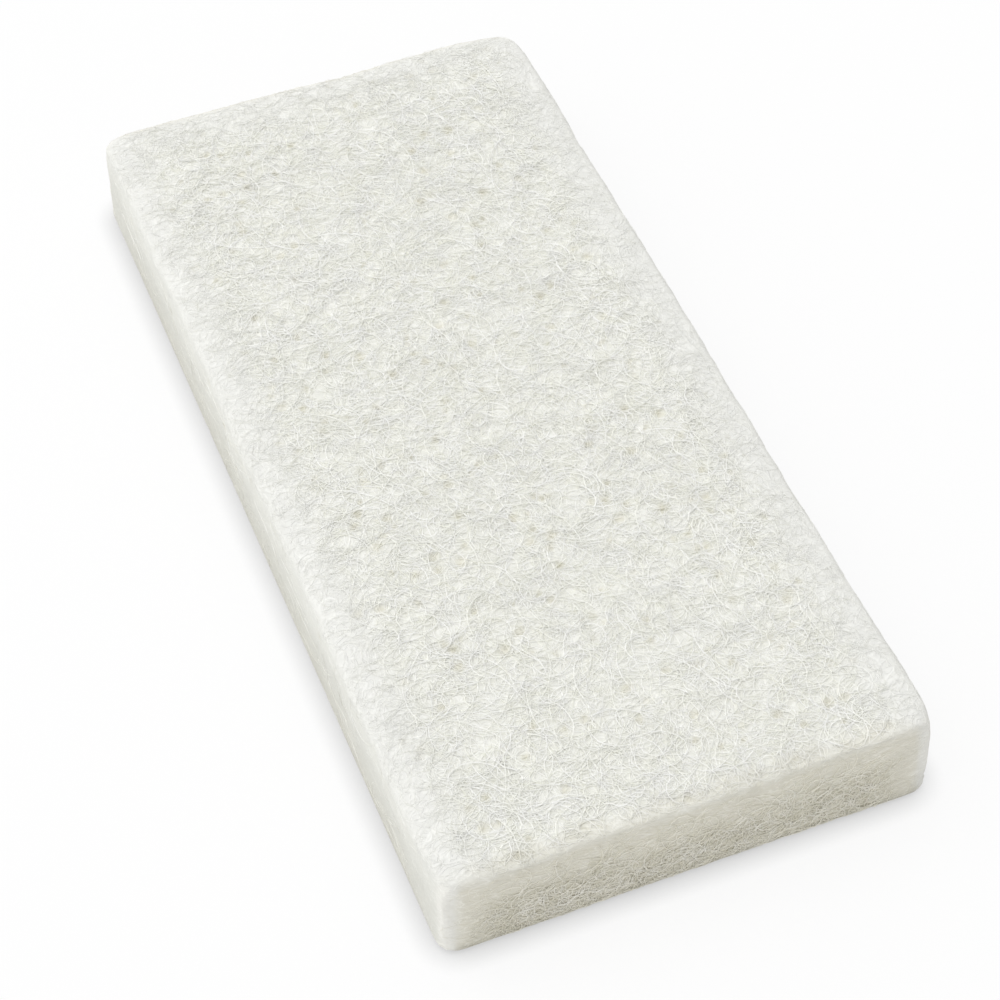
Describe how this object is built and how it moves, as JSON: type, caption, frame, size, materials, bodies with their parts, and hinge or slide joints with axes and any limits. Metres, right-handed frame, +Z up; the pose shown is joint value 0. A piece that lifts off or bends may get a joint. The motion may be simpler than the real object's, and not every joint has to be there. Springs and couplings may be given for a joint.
{
  "type": "wood finishing pad",
  "caption": "Thick off-white rectangular hand pad of bonded random fibre web, with softly rounded corners and rims, for rubbing finishes into wood.",
  "frame": {"origin": "middle of the flat underside, on the bench", "axes": "+Y along the pad's long side, +X across it, +Z up through its thickness towards the working face"},
  "size_m": [0.1196, 0.2544, 0.0279],
  "materials": {
    "bonded_fibre": "matt off-white bonded polyester fibre, open web"
  },
  "bodies": {
    "root": {"finishing_pad": "bonded_fibre"}
  },
  "joints": []
}
